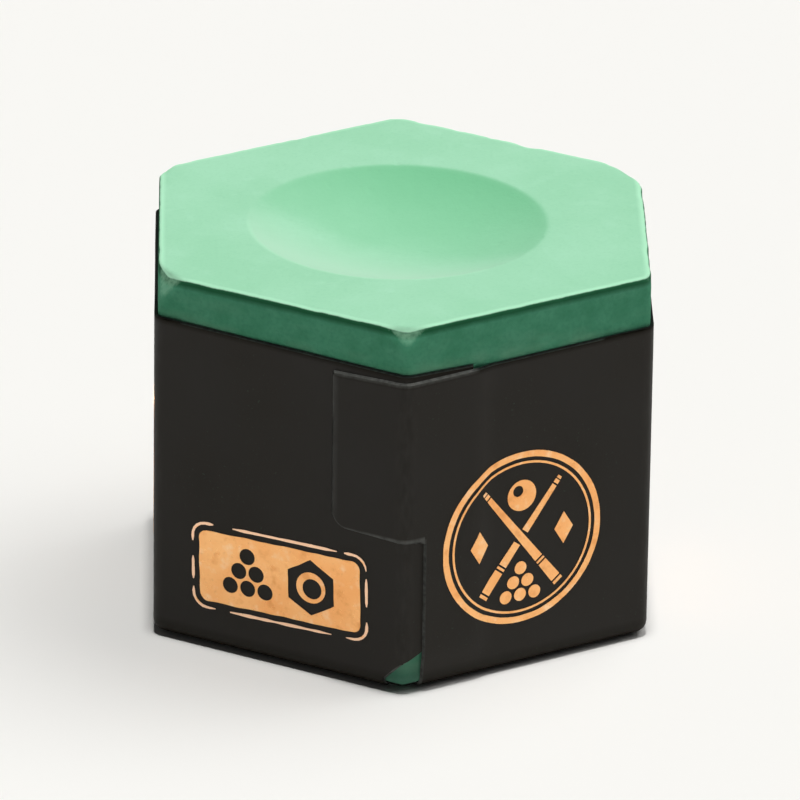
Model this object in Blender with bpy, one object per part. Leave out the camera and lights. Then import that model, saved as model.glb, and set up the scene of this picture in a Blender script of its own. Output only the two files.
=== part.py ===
"""Cue chalk: a six-sided block of pressed chalk in a pasted paper label, with copper foil marks.

The block stands on the XY plane with its axis on Z and one upright edge towards -Y. Lengths are metres.
The label is drawn flat first, as the strip of paper that it is cut from, and then wrapped:
p runs along the strip, to the right as seen from outside, and is 0 on the front upright edge;
v runs up the strip, and is 0 where the paper starts to curl under the block;
t is the height above the strip's glued side.
"""

import math

import bmesh
import bpy

MM = 0.001

# The block, with the label's base sheet included in the total height
ACROSS_FLATS = 28.0 * MM
TOTAL_HEIGHT = 22.4 * MM
UPRIGHT_EDGE_RADIUS = 0.6 * MM
FOOT_RADIUS = 0.5 * MM
TOP_EDGE_RADIUS = 0.2 * MM

# The dish that the cue tip is turned in, a little off the block's axis
DISH_DIAMETER = 17.2 * MM
DISH_DEPTH = 1.6 * MM
DISH_RIM_RADIUS = 3.0 * MM
DISH_SHIFT = -0.25 * MM

# Worn facets on the block's six top corners, from the front corner round to the right
CORNER_WEAR = (1.0 * MM, 0.45 * MM, 2.2 * MM, 0.45 * MM, 0.9 * MM, 1.5 * MM)
WEAR_DEPTH_SHARE = 1.1

# The paper and how it lies
PAPER = 0.15 * MM
GLUE = 0.05 * MM
LAP_GAP = 0.03 * MM
BASE_SHEET_INSET = 0.9 * MM
TAB_LENGTH = 4.0 * MM
TAB_MITRE = 1.0

# Heights of the strip's top edge: at its lower end, at each upright edge, and at the flap's end
UNDER_END_TOP = 19.55 * MM
EDGE_TOPS = (19.3 * MM, 19.4 * MM, 19.55 * MM, 19.7 * MM, 19.8 * MM, 19.9 * MM, 19.7 * MM)
FLAP_END_TOP = 19.15 * MM

# The lap at the front edge: the lower end reaches past it to the right, the upper flap past it to the left
UNDER_END = 4.3 * MM
FLAP_REACH = 4.55 * MM
FLAP_FOOT = 9.55 * MM
FLAP_CORNER_RADIUS = 1.0 * MM
STEP_EDGE = 1.07 * MM
STEP_EDGE_TOP = 9.35 * MM
LAP_SLOPE_START = 4.45 * MM
LAP_SLOPE_END = 5.6 * MM
LAP_FOOT_SLOPE = 1.7 * MM
TRIM_START = 1.1 * MM
TRIM_START_DROP = 0.13 * MM
TRIM_SLOPE_PAST_EDGE = 0.5

# The foil marks, alternating round the block: plaques on three faces and crests on the three between
FOIL = 0.02 * MM
FOIL_GAP = 0.01 * MM
PLAQUE_WIDTH = 10.5 * MM
PLAQUE_HEIGHT = 4.4 * MM
PLAQUE_CORNER = 0.35 * MM
PLAQUE_CENTRE = (8.2 * MM, 5.3 * MM)
PLAQUE_DOT_RADIUS = 0.36 * MM
PLAQUE_DOT_PITCH = 0.86 * MM
PLAQUE_MOTIF_OFFSET = 2.0 * MM
PLAQUE_DIAMOND = (1.0 * MM, 1.4 * MM)
CREST_CENTRE = (7.6 * MM, 8.2 * MM)
CREST_RADIUS = 5.3 * MM
CREST_RING_WIDTH = 0.45 * MM
CUE_HALF_WIDTH = 0.3 * MM
CUE_ANGLE = math.radians(52.0)

# Faces are numbered by the upright edge on their left, and edges from the front one round to the right
PLAQUE_FACES = (5, 1, 3)
CREST_FACES = (0, 2, 4)

# Finishes, as base colour and roughness
CHALK_FINISH = ((0.36, 0.74, 0.48), 0.95)
PAPER_FINISH = ((0.022, 0.021, 0.019), 0.55)
FOIL_FINISH = ((0.80, 0.45, 0.22), 0.35)

SIDES = 6

# How finely round shapes are stepped
EDGE_STEPS = 4
CURL_STEPS = 3
FACE_STEPS = 10
RIM_STEPS = 4
BOWL_STEPS = 9
PLAQUE_CORNER_STEPS = 3
DOT_STEPS = 12
CREST_RING_STEPS = 48
CREST_OPENING_STEPS = 10
SHARP_ANGLE = math.radians(30)

# Points nearer than these are on a cutting line, or are one point
ON_LINE = 1e-6 * MM
WELD_DISTANCE = 1e-4 * MM

APOTHEM = ACROSS_FLATS / 2
SIDE = 2 * APOTHEM * math.tan(math.pi / SIDES)
HALF_ARC = UPRIGHT_EDGE_RADIUS * math.pi / SIDES
PITCH = SIDE - 2 * UPRIGHT_EDGE_RADIUS * math.tan(math.pi / SIDES) + 2 * HALF_ARC
CURL_LENGTH = FOOT_RADIUS * math.pi / 2
CHALK_FOOT = PAPER + LAP_GAP + PAPER + GLUE
WALL_FOOT = CHALK_FOOT + FOOT_RADIUS


def clear_scene():
    for old in list(bpy.data.objects):
        bpy.data.objects.remove(old, do_unlink=True)


def material(name, colour, roughness, metallic=0.0):
    made = bpy.data.materials.new(name)
    made.use_nodes = True
    shader = made.node_tree.nodes["Principled BSDF"]
    shader.inputs["Base Color"].default_value = (*colour, 1.0)
    shader.inputs["Roughness"].default_value = roughness
    shader.inputs["Metallic"].default_value = metallic
    return made


def add_object(name, mesh_data, finish):
    """Turns a finished bmesh into a named object with its faces pointing out."""
    bmesh.ops.recalc_face_normals(mesh_data, faces=mesh_data.faces)
    if mesh_data.calc_volume(signed=True) < 0:
        bmesh.ops.reverse_faces(mesh_data, faces=mesh_data.faces)
    mesh = bpy.data.meshes.new(name)
    mesh_data.to_mesh(mesh)
    mesh_data.free()
    mesh.materials.append(finish)
    mesh.shade_smooth()
    mesh.set_sharp_from_angle(angle=SHARP_ANGLE)
    made = bpy.data.objects.new(name, mesh)
    bpy.context.collection.objects.link(made)
    return made


def outline_point(p, out):
    """The point at p along the block's rounded outline, moved out along the outline's normal."""
    corner = round(p / PITCH)
    along = p - corner * PITCH
    corner_angle = -math.pi / 2 + corner * 2 * math.pi / SIDES
    turn = max(-HALF_ARC, min(HALF_ARC, along))
    normal = corner_angle + turn / UPRIGHT_EDGE_RADIUS
    straight = along - turn
    centre = (APOTHEM - UPRIGHT_EDGE_RADIUS) / math.cos(math.pi / SIDES)
    reach = UPRIGHT_EDGE_RADIUS + out
    x = centre * math.cos(corner_angle) + reach * math.cos(normal) - straight * math.sin(normal)
    y = centre * math.sin(corner_angle) + reach * math.sin(normal) + straight * math.cos(normal)
    return x, y


def wrapped_point(p, v, out):
    """The place in space of a point of the strip, at a height out above the chalk."""
    if v >= 0:
        return (*outline_point(p, out), WALL_FOOT + v)
    turned = min(-v / FOOT_RADIUS, math.pi / 2)
    beyond = max(0.0, -v - CURL_LENGTH)
    radial = (FOOT_RADIUS + out) * math.cos(turned) - FOOT_RADIUS - beyond
    return (*outline_point(p, radial), WALL_FOOT - (FOOT_RADIUS + out) * math.sin(turned))


def layer_height(p, v):
    """How high the strip's glued side lies above the chalk: it climbs onto its own lower end at the lap."""
    past_lap = (p - LAP_SLOPE_START) / (LAP_SLOPE_END - LAP_SLOPE_START)
    above_foot = v / LAP_FOOT_SLOPE
    share = max(0.0, min(1.0, 1 - past_lap)) * max(0.0, min(1.0, above_foot))
    return GLUE + (PAPER + LAP_GAP) * share


def upright_edge_lines():
    """The p of every line where the strip bends round an upright edge."""
    lines = []
    for corner in range(SIDES + 1):
        for step in range(EDGE_STEPS + 1):
            lines.append(corner * PITCH + HALF_ARC * (2 * step / EDGE_STEPS - 1))
    return lines


def cut_along(mesh_data, axis, places):
    """Cuts a flat sheet along straight lines, so that it can bend there."""
    for place in places:
        normal = (1, 0, 0) if axis == 0 else (0, 1, 0)
        point = (place, 0, 0) if axis == 0 else (0, place, 0)
        everything = mesh_data.verts[:] + mesh_data.edges[:] + mesh_data.faces[:]
        bmesh.ops.bisect_plane(
            mesh_data, geom=everything, plane_co=point, plane_no=normal, dist=ON_LINE
        )


def thickened(mesh_data, low, high):
    """Gives a flat sheet its thickness, between two heights above the strip's glued side."""
    for vert in mesh_data.verts:
        vert.co.z = low
    top = bmesh.ops.extrude_face_region(mesh_data, geom=mesh_data.faces[:], use_keep_orig=True)
    for item in top["geom"]:
        if isinstance(item, bmesh.types.BMVert):
            item.co.z = high


def wrap_onto_block(mesh_data):
    """Moves a flat sheet's points from the strip's p, v and t to their places round the block."""
    for vert in mesh_data.verts:
        p, v, t = vert.co
        vert.co = wrapped_point(p, v, layer_height(p, v) + t)


def arc(centre, radius, start, end, steps):
    """Points along an arc in the strip's plane, angles in radians."""
    points = []
    for step in range(steps + 1):
        angle = start + (end - start) * step / steps
        points.append((centre[0] + radius * math.cos(angle), centre[1] + radius * math.sin(angle)))
    return points


def dish_profile():
    """Radius and depth below the top face of the dish's rings, from the rim inwards."""
    half = DISH_DIAMETER / 2
    bowl = (half**2 + DISH_DEPTH**2) / (2 * DISH_DEPTH)
    rim_centre = math.sqrt((bowl + DISH_RIM_RADIUS) ** 2 - (bowl - DISH_DEPTH + DISH_RIM_RADIUS) ** 2)
    slope = math.asin(rim_centre / (bowl + DISH_RIM_RADIUS))
    rings = []
    for step in range(RIM_STEPS):
        angle = slope * step / RIM_STEPS
        rings.append((rim_centre - DISH_RIM_RADIUS * math.sin(angle), DISH_RIM_RADIUS * (1 - math.cos(angle))))
    for step in range(BOWL_STEPS):
        angle = slope * (1 - step / BOWL_STEPS)
        rings.append((bowl * math.sin(angle), DISH_DEPTH - bowl * (1 - math.cos(angle))))
    return rings


def block_columns():
    """The p of the block's upright lines: close together round the edges, evenly spaced on the faces."""
    columns = []
    for corner in range(SIDES):
        for step in range(EDGE_STEPS + 1):
            columns.append(corner * PITCH + HALF_ARC * (2 * step / EDGE_STEPS - 1))
        for step in range(1, FACE_STEPS):
            columns.append(corner * PITCH + HALF_ARC + (PITCH - 2 * HALF_ARC) * step / FACE_STEPS)
    return columns


def block_rings():
    """The block's outline rings as (inset, height), from the underside's rim up to the top face's rim."""
    rings = []
    for step in range(CURL_STEPS + 1):
        angle = math.pi / 2 * (1 - step / CURL_STEPS)
        rings.append((FOOT_RADIUS * (1 - math.cos(angle)), WALL_FOOT - FOOT_RADIUS * math.sin(angle)))
    for step in range(CURL_STEPS + 1):
        angle = math.pi / 2 * step / CURL_STEPS
        drop = TOP_EDGE_RADIUS * (1 - math.sin(angle))
        rings.append((TOP_EDGE_RADIUS * (1 - math.cos(angle)), TOTAL_HEIGHT - drop))
    return rings


def cut_worn_corners(mesh_data):
    """Takes a small sloping facet off each top corner of the block."""
    corner_radius = (APOTHEM - UPRIGHT_EDGE_RADIUS) / math.cos(math.pi / SIDES) + UPRIGHT_EDGE_RADIUS
    for corner, wear in enumerate(CORNER_WEAR):
        angle = -math.pi / 2 + corner * 2 * math.pi / SIDES
        inset = wear / 2
        drop = wear * WEAR_DEPTH_SHARE
        reach = corner_radius - inset
        point = (reach * math.cos(angle), reach * math.sin(angle), TOTAL_HEIGHT)
        normal = (drop * math.cos(angle), drop * math.sin(angle), inset)
        everything = mesh_data.verts[:] + mesh_data.edges[:] + mesh_data.faces[:]
        cut = bmesh.ops.bisect_plane(
            mesh_data, geom=everything, plane_co=point, plane_no=normal, clear_outer=True, dist=ON_LINE
        )
        rim = [item for item in cut["geom_cut"] if isinstance(item, bmesh.types.BMEdge)]
        bmesh.ops.contextual_create(mesh_data, geom=rim)


def make_chalk_block(finish):
    columns = block_columns()
    mesh_data = bmesh.new()
    loops = []
    for inset, height in block_rings():
        loops.append([mesh_data.verts.new((*outline_point(p, -inset), height)) for p in columns])
    for radius, depth in dish_profile():
        ring = []
        for p in columns:
            x, y = outline_point(p, 0)
            reach = radius / math.hypot(x, y)
            ring.append(mesh_data.verts.new((DISH_SHIFT + x * reach, y * reach, TOTAL_HEIGHT - depth)))
        loops.append(ring)
    count = len(columns)
    for low, high in zip(loops, loops[1:]):
        for index in range(count):
            after = (index + 1) % count
            mesh_data.faces.new((low[index], low[after], high[after], high[index]))
    dish_floor = mesh_data.verts.new((DISH_SHIFT, 0, TOTAL_HEIGHT - DISH_DEPTH))
    for index in range(count):
        mesh_data.faces.new((loops[-1][index], loops[-1][(index + 1) % count], dish_floor))
    mesh_data.faces.new(loops[0])
    cut_worn_corners(mesh_data)
    return add_object("chalk_block", mesh_data, finish)


def tab_points(start, end):
    """One glue tab under the block, from its left end to its right end, with mitred sides."""
    deep = -CURL_LENGTH - TAB_LENGTH
    shift = TAB_LENGTH * TAB_MITRE
    return [(start, -CURL_LENGTH), (start + shift, deep), (end - shift, deep), (end, -CURL_LENGTH)]


def label_outline():
    """The side label's outline as it is cut from flat paper, anticlockwise."""
    outline = []
    for face in range(SIDES):
        start = STEP_EDGE if face == 0 else face * PITCH + HALF_ARC
        end = (face + 1) * PITCH - (TRIM_START if face == SIDES - 1 else HALF_ARC)
        outline += tab_points(start, end)
    seam = SIDES * PITCH
    trim_at_edge = TRIM_START - TRIM_START_DROP
    outline.append((seam - TRIM_START, -TRIM_START_DROP))
    outline.append((seam, trim_at_edge))
    outline.append((seam + UNDER_END, trim_at_edge + UNDER_END * TRIM_SLOPE_PAST_EDGE))
    outline.append((seam + UNDER_END, UNDER_END_TOP - WALL_FOOT))
    for corner in range(SIDES, -1, -1):
        outline.append((corner * PITCH, EDGE_TOPS[corner] - WALL_FOOT))
    outline.append((-FLAP_REACH, FLAP_END_TOP - WALL_FOOT))
    turn = (-FLAP_REACH + FLAP_CORNER_RADIUS, FLAP_FOOT - WALL_FOOT + FLAP_CORNER_RADIUS)
    outline += arc(turn, FLAP_CORNER_RADIUS, math.pi, 1.5 * math.pi, EDGE_STEPS)
    outline.append((STEP_EDGE, STEP_EDGE_TOP - WALL_FOOT))
    return outline


def make_side_label(finish):
    mesh_data = bmesh.new()
    mesh_data.faces.new([mesh_data.verts.new((p, v, 0)) for p, v in label_outline()])
    cut_along(mesh_data, 0, upright_edge_lines() + [LAP_SLOPE_START, LAP_SLOPE_END])
    cut_along(mesh_data, 1, [-CURL_LENGTH * step / CURL_STEPS for step in range(CURL_STEPS + 1)])
    cut_along(mesh_data, 1, [LAP_FOOT_SLOPE])
    thickened(mesh_data, 0, PAPER)
    wrap_onto_block(mesh_data)
    return add_object("side_label", mesh_data, finish)


def make_base_label(finish):
    mesh_data = bmesh.new()
    points = []
    for corner in range(SIDES):
        for step in range(EDGE_STEPS + 1):
            p = corner * PITCH + HALF_ARC * (2 * step / EDGE_STEPS - 1)
            x, y = outline_point(p, 0)
            share = 1 - BASE_SHEET_INSET / APOTHEM
            points.append(mesh_data.verts.new((x * share, y * share, 0)))
    mesh_data.faces.new(points)
    thickened(mesh_data, 0, PAPER)
    return add_object("base_label", mesh_data, finish)


def cut_foil(name, outlines):
    """A flat piece of foil: the first outline is its edge and the others are openings in it."""
    curve = bpy.data.curves.new(name, "CURVE")
    curve.dimensions = "2D"
    curve.fill_mode = "BOTH"
    curve.extrude = FOIL / 2
    for outline in outlines:
        spline = curve.splines.new("POLY")
        spline.points.add(len(outline) - 1)
        spline.use_cyclic_u = True
        for point, (x, y) in zip(spline.points, outline):
            point.co = (x, y, 0, 1)
    drawn = bpy.data.objects.new(name, curve)
    mesh = bpy.data.meshes.new_from_object(drawn)
    mesh_data = bmesh.new()
    mesh_data.from_mesh(mesh)
    bpy.data.objects.remove(drawn)
    bpy.data.curves.remove(curve)
    bpy.data.meshes.remove(mesh)
    bmesh.ops.remove_doubles(mesh_data, verts=mesh_data.verts, dist=WELD_DISTANCE)
    return mesh_data


def stamp_foil(name, outlines, face, centre, finish):
    """Lays a piece of foil on the label, on the face that follows the given upright edge."""
    mesh_data = cut_foil(name, outlines)
    face_start = face * PITCH + HALF_ARC - UPRIGHT_EDGE_RADIUS * math.tan(math.pi / SIDES)
    for vert in mesh_data.verts:
        vert.co.x += face_start + centre[0]
        vert.co.y += centre[1] - WALL_FOOT
        vert.co.z += PAPER + FOIL_GAP + FOIL / 2
    cut_along(mesh_data, 0, [LAP_SLOPE_START, LAP_SLOPE_END])
    wrap_onto_block(mesh_data)
    return add_object(name, mesh_data, finish)


def circle(centre, radius, steps):
    return arc(centre, radius, 0, 2 * math.pi * (1 - 1 / steps), steps - 1)


def plaque_outlines():
    """A plate with a rack of six balls and a diamond left open in it."""
    half_width = PLAQUE_WIDTH / 2 - PLAQUE_CORNER
    half_height = PLAQUE_HEIGHT / 2 - PLAQUE_CORNER
    edge = []
    for turn, (side, up) in enumerate(((1, 1), (-1, 1), (-1, -1), (1, -1))):
        corner = (side * half_width, up * half_height)
        start = turn * math.pi / 2
        edge += arc(corner, PLAQUE_CORNER, start, start + math.pi / 2, PLAQUE_CORNER_STEPS)
    outlines = [edge]
    for row in range(3):
        for place in range(row + 1):
            x = -PLAQUE_MOTIF_OFFSET + (place - row / 2) * PLAQUE_DOT_PITCH
            y = (1 - row) * PLAQUE_DOT_PITCH * math.sin(math.pi / 3)
            outlines.append(circle((x, y), PLAQUE_DOT_RADIUS, DOT_STEPS))
    wide, tall = PLAQUE_DIAMOND
    centre = PLAQUE_MOTIF_OFFSET
    outlines.append([(centre + wide, 0), (centre, tall), (centre - wide, 0), (centre, -tall)])
    return outlines


def crest_outlines():
    """A ring with two crossed cues in it: the ring's edge, then the four openings between the cues."""
    inner = CREST_RADIUS - CREST_RING_WIDTH
    outlines = [circle((0, 0), CREST_RADIUS, CREST_RING_STEPS)]
    whole = 2 * math.pi
    directions = (CUE_ANGLE, math.pi - CUE_ANGLE, math.pi + CUE_ANGLE, whole - CUE_ANGLE, whole + CUE_ANGLE)
    for start, end in zip(directions, directions[1:]):
        middle = (start + end) / 2
        corner = CUE_HALF_WIDTH / math.sin((end - start) / 2)
        margin = math.asin(CUE_HALF_WIDTH / inner)
        opening = [(corner * math.cos(middle), corner * math.sin(middle))]
        opening += arc((0, 0), inner, start + margin, end - margin, CREST_OPENING_STEPS)
        outlines.append(opening)
    return outlines


def main():
    clear_scene()
    chalk = material("pressed_chalk", *CHALK_FINISH)
    paper = material("black_paper", *PAPER_FINISH)
    foil = material("copper_foil", *FOIL_FINISH, metallic=1.0)
    make_chalk_block(chalk)
    make_side_label(paper)
    make_base_label(paper)
    for face, place in zip(PLAQUE_FACES, ("left_front", "right", "left_back")):
        stamp_foil("foil_plaque_" + place, plaque_outlines(), face, PLAQUE_CENTRE, foil)
    for face, place in zip(CREST_FACES, ("right_front", "right_back", "left")):
        stamp_foil("foil_crest_" + place, crest_outlines(), face, CREST_CENTRE, foil)


main()
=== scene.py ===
"""Looks of the hexagonal cue chalk: powdery chalk, pasted black paper label and stamped copper foil.

The label and its foil are drawn flat, as on the strip of paper that they are cut from, and then wrapped:
p runs along the strip, to the right as seen from outside, and is 0 on the front upright edge;
v runs up the strip, and is 0 where the paper starts to curl under the block;
t is the height above the strip's glued side.
"""

import math

import bmesh
import bpy
from mathutils import Matrix, Vector, noise


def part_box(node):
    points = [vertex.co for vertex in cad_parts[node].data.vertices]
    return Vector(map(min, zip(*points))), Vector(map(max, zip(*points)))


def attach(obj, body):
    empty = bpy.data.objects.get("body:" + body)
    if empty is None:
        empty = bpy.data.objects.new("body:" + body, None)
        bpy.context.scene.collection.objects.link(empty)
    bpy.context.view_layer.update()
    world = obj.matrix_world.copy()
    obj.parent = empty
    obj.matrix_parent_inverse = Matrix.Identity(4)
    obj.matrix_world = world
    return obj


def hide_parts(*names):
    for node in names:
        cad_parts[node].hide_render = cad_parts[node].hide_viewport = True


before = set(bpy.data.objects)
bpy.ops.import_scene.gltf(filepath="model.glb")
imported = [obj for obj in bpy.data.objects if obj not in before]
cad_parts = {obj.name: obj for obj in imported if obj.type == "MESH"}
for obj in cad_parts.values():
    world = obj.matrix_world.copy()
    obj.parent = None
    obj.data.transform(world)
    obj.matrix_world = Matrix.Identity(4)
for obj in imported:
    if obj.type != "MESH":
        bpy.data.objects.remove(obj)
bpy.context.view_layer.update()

MM = 0.001
SIDES = 6
BODY = "root"

# The block's main sizes come from its CAD node
CHALK_LOW, CHALK_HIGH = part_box("chalk_block")
APOTHEM = (CHALK_HIGH.x - CHALK_LOW.x) / 2
TOP = CHALK_HIGH.z
CHALK_FOOT = CHALK_LOW.z
UPRIGHT_EDGE_RADIUS = 0.6 * MM
FOOT_RADIUS = 0.5 * MM
TOP_EDGE_RADIUS = 0.2 * MM
DISH_RADIUS = 8.6 * MM
DISH_DEPTH = 1.6 * MM
DISH_RIM_RADIUS = 0.9 * MM
DISH_SHIFT = -0.25 * MM

# The side of the dish that gets painted shade, as an azimuth: 0 is towards -Y and 90 towards +X
DISH_SHADE_TOWARDS = 152

# How far in and down each top corner is worn, and how softly, from the front one round to the right
CORNER_WEAR = (
    (0.66 * MM, 1.15 * MM, 0.20 * MM),
    (0.22 * MM, 0.50 * MM, 0.17 * MM),
    (0.85 * MM, 2.00 * MM, 0.60 * MM),
    (0.22 * MM, 0.50 * MM, 0.17 * MM),
    (0.45 * MM, 1.00 * MM, 0.23 * MM),
    (0.75 * MM, 1.65 * MM, 0.26 * MM),
)

# A corner that has lost this much shows its wear in full, as this share of powder in its skin
FULLY_WORN = 0.25 * MM
WORN_POWDER = 0.36

# How strong the dish's painted shade is at its middle, and how fast it changes to its side with painted
# shade and its side with painted light
DISH_SHADE_AT_MIDDLE = 0.37
DISH_SHADE_SLOPE = 0.65
DISH_LIGHT_SLOPE = 1.9

# How finely the block is stepped. The rings up its side are close where the chalk shows, and wide elsewhere
FOOT_STEPS = 5
TOP_EDGE_STEPS = 5
TOP_FACE_STEPS = 30
DISH_RIM_STEPS = 8
BOWL_STEPS = 34
CORNER_COLUMNS = 8
FACE_COLUMNS = 72
CHALK_SHOWS_ABOVE = 18.4 * MM
CHALK_SHOWS_BELOW = 3.2 * MM
CLOSE_RINGS = 0.2 * MM
WIDE_RINGS = 1.5 * MM

# The crumbled top edge, how far the painted shade below it and the painted highlight along it reach down
# and in, and the chalk's unevenness
BROAD_CHIP_SIZE = 1.7 * MM
BROAD_CHIP_DEPTH = 0.21 * MM
FINE_CHIP_SIZE = 0.55 * MM
FINE_CHIP_DEPTH = 0.04 * MM
UNDER_LIP_REACH = 0.32 * MM
TOP_RIM_REACH = 0.2 * MM
BROAD_ROUGHNESS = 0.020 * MM
BROAD_ROUGHNESS_SIZE = 5 * MM
FINE_ROUGHNESS = 0.010 * MM
FINE_ROUGHNESS_SIZE = 0.6 * MM

# The pores in the pressed chalk. A cell of the pattern has one if its own noise isn't below the threshold
PIT_SPACING = 1.3 * MM
PIT_DEPTH = 0.05 * MM
PIT_THRESHOLD = 0.35

# The paper and how it laps, as the CAD label has it
PAPER = 0.15 * MM
GLUE = 0.05 * MM
LAP_GAP = 0.03 * MM
BASE_SHEET_INSET = 0.9 * MM
TAB_LENGTH = 4.0 * MM
UNDER_END_TOP = 19.55 * MM
EDGE_TOPS = (19.3 * MM, 19.4 * MM, 19.55 * MM, 19.7 * MM, 19.8 * MM, 19.9 * MM, 19.7 * MM)
FLAP_END_TOP = 19.15 * MM
UNDER_END = 4.3 * MM
FLAP_REACH = 4.55 * MM
FLAP_FOOT = 9.55 * MM
FLAP_CORNER_RADIUS = 1.0 * MM
STEP_EDGE = 1.07 * MM
STEP_EDGE_TOP = 9.35 * MM
LAP_SLOPE_START = 4.45 * MM
LAP_SLOPE_END = 5.6 * MM
LAP_FOOT_SLOPE = 1.7 * MM
TRIM_START = 1.1 * MM
TRIM_START_DROP = 0.13 * MM
TRIM_SLOPE_PAST_EDGE = 0.5

# How the label's sheets are drawn: the slope of their cut edges, their grid, their bends and their waves
CUT_SLOPE = 0.10 * MM
SHEET_CELL = 0.5 * MM
BEND_STEPS = 6
CURL_STEPS = 5
FLAP_CORNER_STEPS = 8
BROAD_WAVE = 0.018 * MM
BROAD_WAVE_SIZE = (7 * MM, 9 * MM)
FINE_WAVE = 0.006 * MM
FINE_WAVE_SIZE = (2.2 * MM, 3.1 * MM)

# The foil and where it is stamped on its face
FOIL = 0.02 * MM
FOIL_GAP = 0.01 * MM
PLAQUE_SIZE = (10.5 * MM, 4.4 * MM)
PLAQUE_CENTRE = (8.2 * MM, 5.3 * MM)
CREST_CENTRE = (7.6 * MM, 8.2 * MM)
CREST_RADIUS = 5.3 * MM
CREST_SIZE = (2 * CREST_RADIUS, 2 * CREST_RADIUS)
PLAQUE_TILT = math.radians(1.4)

# How uneven the stamps' outlines are, over what length, and how far apart their points are
UNEVEN_PLATE = 0.06 * MM
UNEVEN_BLOCK = 0.04 * MM
UNEVEN_RING = 0.03 * MM
UNEVEN_BALL = 0.02 * MM
UNEVEN_LENGTH = 0.9 * MM
OUTLINE_SPACING = 0.3 * MM
UNEVEN_SEED = 7
BALL_POINTS = 18
RING_POINTS = 72
PLATE_CORNER_STEPS = 6

# The plaque's artwork. The frame line's strokes start and end at shares of the way round it
PLAQUE_CORNER = 0.5 * MM
PLAQUE_RACK = (-2.1 * MM, 0.08 * MM)
PLAQUE_BALL_RADIUS = 0.5 * MM
PLAQUE_BALL_PITCH = 1.14 * MM
DRAWN_BLOCK = (2.05 * MM, 0.0)
DRAWN_BLOCK_RADIUS = 1.72 * MM
DRAWN_DISH_RADIUS = 0.95 * MM
DRAWN_HOLLOW = (2.13 * MM, -0.06 * MM)
DRAWN_HOLLOW_RADIUS = 0.62 * MM
FRAME_OFFSET = 0.42 * MM
FRAME_CORNER = 0.85 * MM
FRAME_WIDTH = 0.17 * MM
FRAME_STROKES = (
    (0.0, 0.06),
    (0.075, 0.29),
    (0.33, 0.40),
    (0.43, 0.475),
    (0.49, 0.56),
    (0.59, 0.80),
    (0.83, 0.90),
    (0.93, 0.985),
)

# The frame's strokes: how many steps the whole way round would take, and how narrow and wavering they are
STEPS_ROUND_FRAME = 120
LEAST_STROKE_STEPS = 6
STROKE_END_SHARE = 0.35
STROKE_SWELL = 6
STROKE_WAVER = 0.5
STROKE_WAVER_LENGTH = 0.8 * MM

# The crest's artwork. The ring's edges come from the outside in
CREST_RING_INSETS = (0.38 * MM, 0.62 * MM, 0.76 * MM)
CREST_RACK = (0, -2.75 * MM)
CREST_BALL_RADIUS = 0.40 * MM
CREST_BALL_PITCH = 0.96 * MM
CUE_BALL = (0, 2.6 * MM)
CUE_BALL_RADIUS = 0.95 * MM
CUE_BALL_SPOT = (-0.25 * MM, 2.9 * MM)
CUE_BALL_SPOT_RADIUS = 0.34 * MM
DIAMOND_PLACE = 2.85 * MM
DIAMOND_HALF_WIDTH = 0.62 * MM
DIAMOND_HALF_HEIGHT = 1.0 * MM
CUE_ANGLE = math.radians(52.0)
CROSSING_GAP = 0.42 * MM
# Start and end along the cue, and its width at each
CUE_PARTS = (
    (-4.15 * MM, -3.95 * MM, 0.66 * MM, 0.66 * MM),
    (-3.83 * MM, -2.35 * MM, 0.66 * MM, 0.58 * MM),
    (-2.23 * MM, -2.08 * MM, 0.58 * MM, 0.57 * MM),
    (-1.96 * MM, 3.55 * MM, 0.56 * MM, 0.34 * MM),
    (3.65 * MM, 3.9 * MM, 0.34 * MM, 0.33 * MM),
    (3.98 * MM, 4.15 * MM, 0.33 * MM, 0.26 * MM),
)

# Faces are numbered by the upright edge on their left, from the front edge round to the right
PLAQUES = ((5, "left_front"), (1, "right"), (3, "left_back"))
CRESTS = ((0, "right_front"), (2, "right_back"), (4, "left"))

SIDE = 2 * APOTHEM * math.tan(math.pi / SIDES)
HALF_ARC = UPRIGHT_EDGE_RADIUS * math.pi / SIDES
PITCH = SIDE - 2 * UPRIGHT_EDGE_RADIUS * math.tan(math.pi / SIDES) + 2 * HALF_ARC
FACE_START = HALF_ARC - UPRIGHT_EDGE_RADIUS * math.tan(math.pi / SIDES)
CURL_LENGTH = FOOT_RADIUS * math.pi / 2
WALL_FOOT = CHALK_FOOT + FOOT_RADIUS
CORNER_REACH = (APOTHEM - UPRIGHT_EDGE_RADIUS) / math.cos(math.pi / SIDES) + UPRIGHT_EDGE_RADIUS

# Camera, floor, backdrop and light
LIGHT_COLOUR = (1.0, 0.995, 0.98)
CAMERA_AZIMUTH = -1.35
CAMERA_ELEVATION = 23.5
CAMERA_ROLL = 0.8
CAMERA_DISTANCE = 0.566
CAMERA_LENS = 440.0
FLOOR_REACH = 1.9
BACKDROP_RADIUS = 1.7
BACKDROP_HEIGHT = 0.17
BACKDROP_SEGMENTS = 96
BACKDROP_COLOUR = (0.95, 0.94, 0.905, 1.0)
WORLD_STRENGTH = 0.05

# Each light's azimuth, elevation, strength, and the angle of sky that it fills, in degrees
LIGHTS = {
    "key": (122, 62, 0.79, 40),
    "overhead": (0, 89, 2.13, 5),
    "fill": (96, 50, 0.43, 45),
}


def smooth_step(low, high, x):
    share = max(0.0, min(1.0, (x - low) / (high - low)))
    return share * share * (3 - 2 * share)


def edge_angle(corner):
    return -math.pi / 2 + corner * 2 * math.pi / SIDES


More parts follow.
